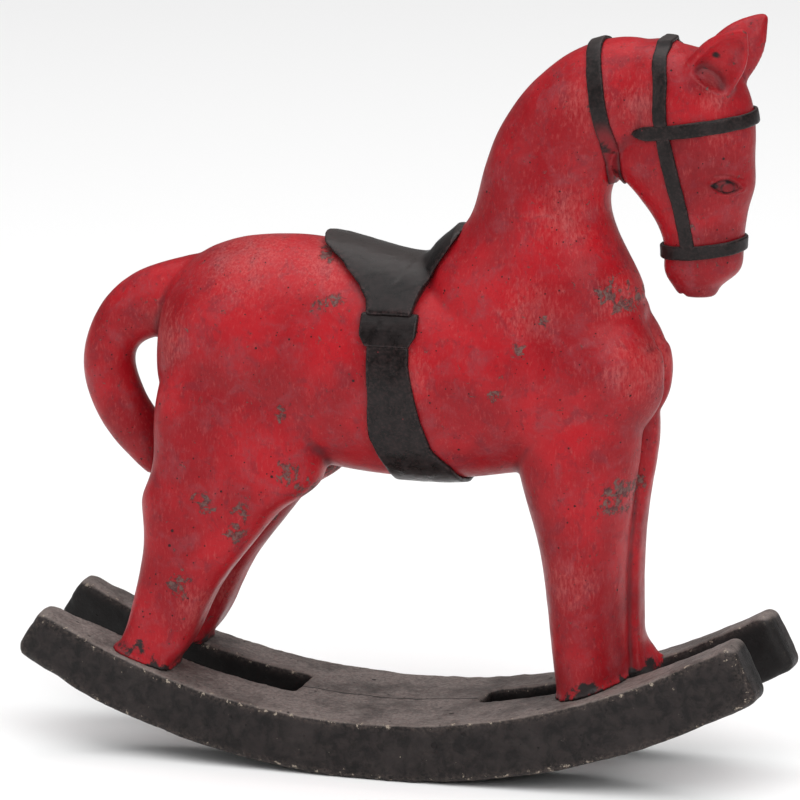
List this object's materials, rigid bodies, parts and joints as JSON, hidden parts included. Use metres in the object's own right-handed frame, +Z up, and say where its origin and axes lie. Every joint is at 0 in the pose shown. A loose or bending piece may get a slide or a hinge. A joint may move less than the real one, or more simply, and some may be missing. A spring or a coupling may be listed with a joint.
{
  "type": "rocking horse",
  "caption": "Decorative cast rocking horse: a standing horse with saddle, girth and bridle in relief, curled tail and upright ears, on a pair of curved rockers joined by a short deck.",
  "frame": {"origin": "middle of the overall box, at the height of the surface that the rockers stand on", "axes": "+X towards the nose, +Y to the horse's left, +Z up"},
  "size_m": [0.3546, 0.094, 0.3579],
  "materials": {
    "red_casting": "distressed red paint over grey casting",
    "base_casting": "worn black-brown paint, rough",
    "saddle_black": "satin black paint",
    "bridle_black": "satin black paint",
    "steel_rod": "drawn wire"
  },
  "bodies": {
    "root": {"right_rocker": "base_casting", "left_rocker": "base_casting", "right_body_shell": "red_casting", "left_body_shell": "red_casting", "right_foreleg": "red_casting", "left_foreleg": "red_casting", "right_hind_leg": "red_casting", "left_hind_leg": "red_casting", "tail": "red_casting", "right_ear": "red_casting", "left_ear": "red_casting", "saddle": "saddle_black", "girth": "saddle_black", "right_girth_keeper": "saddle_black", "left_girth_keeper": "saddle_black", "crown_strap": "bridle_black", "right_cheek_strap": "bridle_black", "left_cheek_strap": "bridle_black", "browband": "bridle_black", "noseband": "bridle_black", "throat_strap": "bridle_black", "rocker_cross_pins": "steel_rod", "shell_locating_pegs": "steel_rod", "right_foreleg_rod": "steel_rod", "right_hind_leg_rod": "steel_rod", "left_foreleg_rod": "steel_rod", "left_hind_leg_rod": "steel_rod", "neck_rod": "steel_rod", "tail_wire": "steel_rod"}
  },
  "joints": []
}
